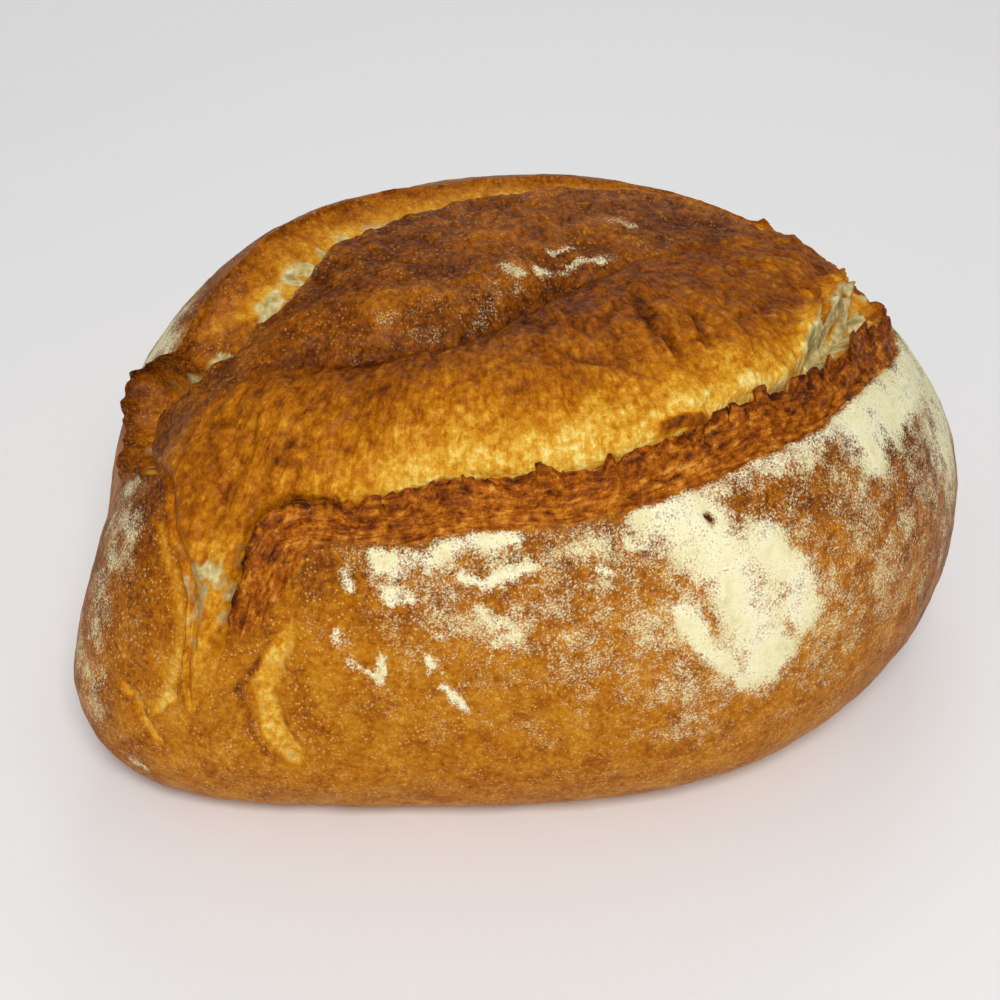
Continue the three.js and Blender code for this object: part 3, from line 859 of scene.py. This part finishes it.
# %% Baked crust: pale pinprick blisters in the skin, in loose crowds
BLISTER_APART, CROWD = 1.3, 6    # mm
blister = add(tree, "TexVoronoi", place, named={"Scale": PER_MM / BLISTER_APART})
blister = add(tree, "MapRange", blister, 0.34, 0.14, 0.0, 1.0)
some = add(tree, "TexNoise", place, named={"Scale": PER_MM / CROWD, "Detail": 1.0})
some = add(tree, "MapRange", some, 0.34, 0.62, 0.1, 0.85)
blister = add(tree, "Math", blister, some, operation="MULTIPLY")
blister = add(tree, "Math", blister, not_opened, operation="MULTIPLY")
colour = add(tree, "Mix", blister, colour, linear(BLISTER), data_type="RGBA")
print("blisters are", BLISTER)

# %% Baked crust: the torn band, in flakes that run along the lip
SHRED = 3    # mm
along = add(tree, "VectorMath", flow_place, (0.9, 0.16, 1), operation="MULTIPLY")
flakes = add(tree, "TexNoise", along,
             named={"Scale": 1.0, "Detail": 5.0, "Roughness": 0.7, "Distortion": 0.25})
crumbly = add(tree, "TexNoise", place,
              named={"Scale": PER_MM / SHRED, "Detail": 5.0, "Roughness": 0.75})
flakes = add(tree, "Math", flakes, crumbly, operation="ADD")
torn_browning_and_shade = add(tree, "Math", flakes, 2.0, -2.0, operation="MULTIPLY_ADD")
torn_browning_and_shade = add(tree, "Math", torn_browning_and_shade, mask["bake_and_shade"], operation="ADD", use_clamp=True)
torn_colour = add(tree, "ValToRGB", torn_browning_and_shade, ramp=TORN_RAMP)
colour = add(tree, "Mix", mask["torn"], colour, torn_colour, data_type="RGBA")
print("the torn band browns over", len(TORN_RAMP), "colours")

# %% Baked crust: white crumb in the gaps, with painted shade in its holes
CRUMB_CELL = 1.6    # mm
crumb_share = add(tree, "Math", pores, 0.7, mask["crumb"], operation="MULTIPLY_ADD")
crumb_share = add(tree, "MapRange", crumb_share, 0.5, 0.9, 0.0, 0.85)
crumb_colour = add(tree, "TexNoise", place, named={"Scale": PER_MM / CRUMB_CELL, "Detail": 3.0})
crumb_colour = add(tree, "ValToRGB", crumb_colour, ramp=CRUMB_RAMP)
# Painted shade: holes in the crumb turn darker grey.
crumb_colour = add(tree, "Mix", mask["shaded_bubbles"], crumb_colour, linear(BUBBLE_SHADE), data_type="RGBA")
colour = add(tree, "Mix", crumb_share, colour, crumb_colour, data_type="RGBA")
print("bubbles in the crumb are", BUBBLE_SHADE)

# %% Baked crust: flour, in grains that close up where it lies thick
GRAIN, HEAP = 0.6, 8    # mm; real grains are 0.1 mm, too fine to show, so they are drawn coarser
grain = add(tree, "TexNoise", place, named={"Scale": PER_MM / GRAIN, "Roughness": 0.8})
heap = add(tree, "TexNoise", place, named={"Scale": PER_MM / HEAP, "Detail": 5.0, "Roughness": 0.7})
grain = add(tree, "Math", grain, 0.5, operation="MULTIPLY")
grain = add(tree, "Math", heap, 0.5, grain, operation="MULTIPLY_ADD")
level = add(tree, "MapRange", mask["flour"], 0.0, 1.0, 0.32, 0.62)
flour_share = add(tree, "Math", level, grain, operation="SUBTRACT")
flour_share = add(tree, "MapRange", flour_share, -0.05, 0.08, 0.0, 0.95)
flour_colour = add(tree, "ValToRGB", heap, ramp=FLOUR_RAMP)
colour = add(tree, "Mix", flour_share, colour, flour_colour, data_type="RGBA")
print("flour runs from", FLOUR_RAMP[0][1], "to", FLOUR_RAMP[1][1])

# %% Baked crust: relief too fine for the mesh
fibres_felt = add(tree, "Math", fibre, mask["opened"], operation="MULTIPLY")
flakes_felt = add(tree, "Math", flakes, mask["torn"], operation="MULTIPLY")
relief = add(tree, "Math", pores, 0.5, operation="MULTIPLY")
relief = add(tree, "Math", fibres_felt, 0.5, relief, operation="MULTIPLY_ADD")
relief = add(tree, "Math", flakes_felt, 0.9, relief, operation="MULTIPLY_ADD")
cells_felt = add(tree, "Math", cells, mask["opened"], operation="MULTIPLY")
relief = add(tree, "Math", cells_felt, -1.2, relief, operation="MULTIPLY_ADD")
relief = add(tree, "Math", flour_share, 0.15, relief, operation="MULTIPLY_ADD")
RELIEF = 0.7
bump = add(tree, "Bump", named={"Height": relief, "Strength": 0.6, "Distance": RELIEF * MM})
print("a relief of 1 stands for", RELIEF, "mm")

# %% Baked crust: gloss, half rough on skin, duller on crumb and flour
# Its specular level is low, because the skin is pitted finer than the relief can show.
roughness = add(tree, "MapRange", mottle, 0.3, 0.7, 0.42, 0.58)
roughness = add(tree, "Math", flour_share, 0.4, roughness, operation="MULTIPLY_ADD")
roughness = add(tree, "Math", mask["crumb"], 0.3, roughness, operation="MULTIPLY_ADD", use_clamp=True)
CRUST_IOR, SPECULAR = 1.45, 0.12
shader = add(tree, "BsdfPrincipled",
             named={"Base Color": colour, "Roughness": roughness, "IOR": CRUST_IOR,
                    "Normal": bump, "Specular IOR Level": SPECULAR})
add(tree, "OutputMaterial", named={"Surface": shader})
mesh.materials.append(crust)
print("the crust material has", len(tree.nodes), "nodes")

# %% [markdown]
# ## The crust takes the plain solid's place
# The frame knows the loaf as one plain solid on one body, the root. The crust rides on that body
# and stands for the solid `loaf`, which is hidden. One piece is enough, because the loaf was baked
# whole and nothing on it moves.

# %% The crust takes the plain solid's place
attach(loaf, "root")
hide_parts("loaf")
print("the crust stands for the solid loaf, on the root body")

# %% [markdown]
# ## Camera
# A loaf on a table is looked down on from a little to its left, at arm's length, with a short
# telephoto lens that keeps its shape true. A camera could be aimed with a Track To constraint,
# but a constraint can't hold a slight roll. So its three axes are worked out as vectors: back
# from the loaf, level to the right, and upright, and the last two are turned by the roll.

# %% Where the camera stands
AZIMUTH, ELEVATION, ROLL = math.radians(-24), math.radians(36), math.radians(1.0)
DISTANCE = 0.642
AIM_HEIGHT = 0.058
ASIDE, LOWER = 0.00293, 0.00844    # how far to the left of that and below it the view is centred
away = Vector((math.sin(AZIMUTH) * math.cos(ELEVATION), -math.cos(AZIMUTH) * math.cos(ELEVATION),
               math.sin(ELEVATION)))
aim = Vector((0, 0, AIM_HEIGHT))
stands = aim + away * DISTANCE
sideways = Vector((math.cos(AZIMUTH), math.sin(AZIMUTH), 0))
aim_view = aim - ASIDE * sideways - LOWER * away.cross(sideways)
print("the camera stands at", [round(side, 3) for side in stands], "m")

# %% The camera's axes and lens
SENSOR = 36    # mm
FOCAL = 2.16   # focal length against the sensor's width
back = (stands - aim_view).normalized()
level = Vector((0, 0, 1)).cross(back).normalized()
upright = back.cross(level)
rolled_level = level * math.cos(ROLL) + upright * math.sin(ROLL)
rolled_upright = upright * math.cos(ROLL) - level * math.sin(ROLL)
turn = Matrix((rolled_level, rolled_upright, back)).transposed().to_4x4()
camera_data = bpy.data.cameras.new("camera")
camera_data.sensor_width = SENSOR
camera_data.lens = SENSOR * FOCAL
camera = bpy.data.objects.new("camera", camera_data)
bpy.context.scene.collection.objects.link(camera)
bpy.context.scene.camera = camera
camera.matrix_world = Matrix.Translation(stands) @ turn
print("the lens is", round(camera_data.lens, 1), "mm long")

# %% [markdown]
# ## Floor and light
# Bread looks best in soft light from one side, which shows its relief and gives dry crust a
# quiet sheen. The floor is a plane in matt white paint, far wider than the camera sees, and the
# world is an even white, so that shadows stay open. A large area lamp in front is the key. A weak
# one from the left fills its shadows, and one from behind draws a light edge round the back of
# the crust.

# %% Floor
FLOOR_SIDE = 6    # metres
FLOOR_PAINT = "#F6F6F6"
bpy.ops.mesh.primitive_plane_add(size=FLOOR_SIDE)
floor = bpy.context.object
floor.name = "floor"
paint = bpy.data.materials.new("pale_floor")
paint.use_nodes = True
painted = paint.node_tree.nodes["Principled BSDF"]
painted.inputs["Base Color"].default_value = linear(FLOOR_PAINT)
floor.data.materials.append(paint)
print("the floor is", FLOOR_SIDE, "m wide")

# %% World
AMBIENT = 0.33
world = bpy.data.worlds.new("studio")
bpy.context.scene.world = world
world.use_nodes = True
sky = world.node_tree.nodes["Background"]
sky.inputs["Color"].default_value = linear("#FFFFFF")
sky.inputs["Strength"].default_value = AMBIENT
print("the world shines evenly, at a strength of", AMBIENT)

# %% Lamps
LIT_HEIGHT = 0.07    # metres: the lamps point at the middle of the loaf


def soft_light(name, place, size, power):
    """An area lamp of `size` metres and `power` watts, pointed at the loaf."""
    lamp = bpy.data.lights.new(name, "AREA")
    lamp.size = size
    lamp.energy = power
    holder = bpy.data.objects.new(name, lamp)
    holder.location = place
    shines = Vector((0, 0, LIT_HEIGHT)) - Vector(place)
    holder.rotation_euler = shines.to_track_quat("-Z", "Y").to_euler()
    bpy.context.scene.collection.objects.link(holder)
    print("the", name, "light stands", round(shines.length, 2), "m from the loaf")


LAMPS = {"key": ((-0.42, -1.3, 1.6), 0.7, 27.5), "fill": ((-1.8, -0.8, 0.9), 1.4, 2),
         "back": ((0.9, 1.7, 1.5), 1.4, 8)}
for name, lamp_measures in LAMPS.items():
    soft_light(name, *lamp_measures)
bpy.context.scene.view_settings.view_transform = "Standard"
